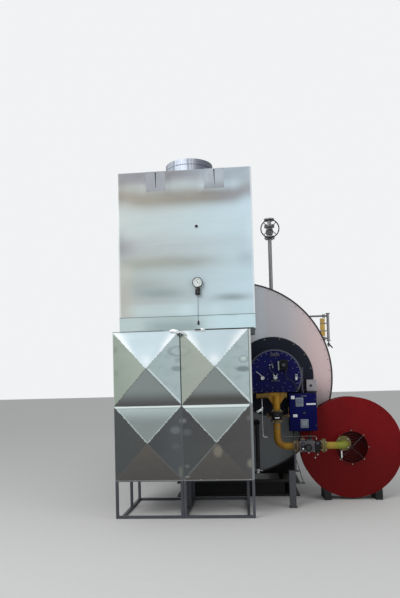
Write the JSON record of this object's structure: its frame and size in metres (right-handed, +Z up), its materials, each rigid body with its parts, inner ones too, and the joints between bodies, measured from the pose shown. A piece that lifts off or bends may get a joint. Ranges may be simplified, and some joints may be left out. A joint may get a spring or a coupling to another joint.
{
  "type": "industrial boiler",
  "caption": "Horizontal shell boiler with a duct-fed gas burner, red fan, gas train, control cabinet and a tall flue gas casing on leg frames in front.",
  "frame": {"origin": "on the floor under the shell's axis, at the outer face of the front plate, on the underside of the front cross beam", "axes": "+Z up, +Y from the burner end to the rear end, +X to the right seen from the burner end"},
  "size_m": [3.6882, 7.012, 4.373],
  "materials": {
    "cladding": "satin, light warm grey sheet cladding",
    "trim": "satin, dark edge trim",
    "base_steel": "matt, dark painted rolled steel",
    "fittings": "matt, dark grey painted castings",
    "pipe_steel": "dull bare steel",
    "black_iron": "matt black",
    "burner_black": "matt black",
    "burner_blue": "semi-gloss deep blue",
    "grey_steel": "matt grey",
    "fitting_metal": "matt dark grey castings",
    "grey_box": "satin light grey",
    "fan_red": "satin dark red",
    "motor_grey": "satin grey",
    "gas_yellow": "semi-gloss yellow",
    "bright_steel": "bright drawn steel tube",
    "casing_sheet": "satin metal sheet with oil-canning and smudges",
    "frame_steel": "matt blue-grey",
    "spigot_zinc": "bright galvanised sheet",
    "gauge_case": "black case with white dial"
  },
  "bodies": {
    "root": {"shell": "cladding", "front_plate": "cladding", "rear_plate": "cladding", "front_trim": "trim", "rear_trim": "trim", "rear_door": "fittings", "saddles": "base_steel", "skid_beams": "base_steel", "cross_beams": "base_steel", "flue_duct": "casing_sheet", "main_steam_nozzle": "fittings", "steam_riser": "pipe_steel", "handwheel": "black_iron", "safety_valve": "fittings", "manhole": "fittings", "level_gauge": "pipe_steel", "feed_nozzle": "fittings", "blowdown_valve": "fittings", "burner_plate": "burner_black", "burner_head": "burner_blue", "burner_rim": "grey_steel", "burner_fittings": "fitting_metal", "ignition_box": "grey_box", "air_duct": "fan_red", "fan_volute": "fan_red", "fan_motor": "motor_grey", "fan_feet": "black_iron", "control_cabinet": "burner_blue", "cabinet_door": "burner_blue", "gas_manifold": "gas_yellow", "butterfly_valve": "black_iron", "gas_riser": "gas_yellow", "gas_valve_block": "fitting_metal", "gas_inlet": "gas_yellow", "gas_stand": "grey_steel", "impulse_line": "bright_steel", "drain_pipe": "black_iron", "panel_top_left": "casing_sheet", "panel_top_right": "casing_sheet", "panel_bottom_left": "casing_sheet", "panel_bottom_right": "casing_sheet", "lower_side_walls": "casing_sheet", "lower_rear_wall": "casing_sheet", "casing_floor": "casing_sheet", "casing_deck": "casing_sheet", "leg_frame_left": "frame_steel", "leg_frame_right": "frame_steel", "upper_front_wall": "casing_sheet", "upper_side_walls": "casing_sheet", "upper_rear_wall": "casing_sheet", "upper_roof": "casing_sheet", "base_band": "casing_sheet", "slot_covers": "casing_sheet", "flue_spigot": "spigot_zinc", "thermometer": "gauge_case"}
  },
  "joints": []
}
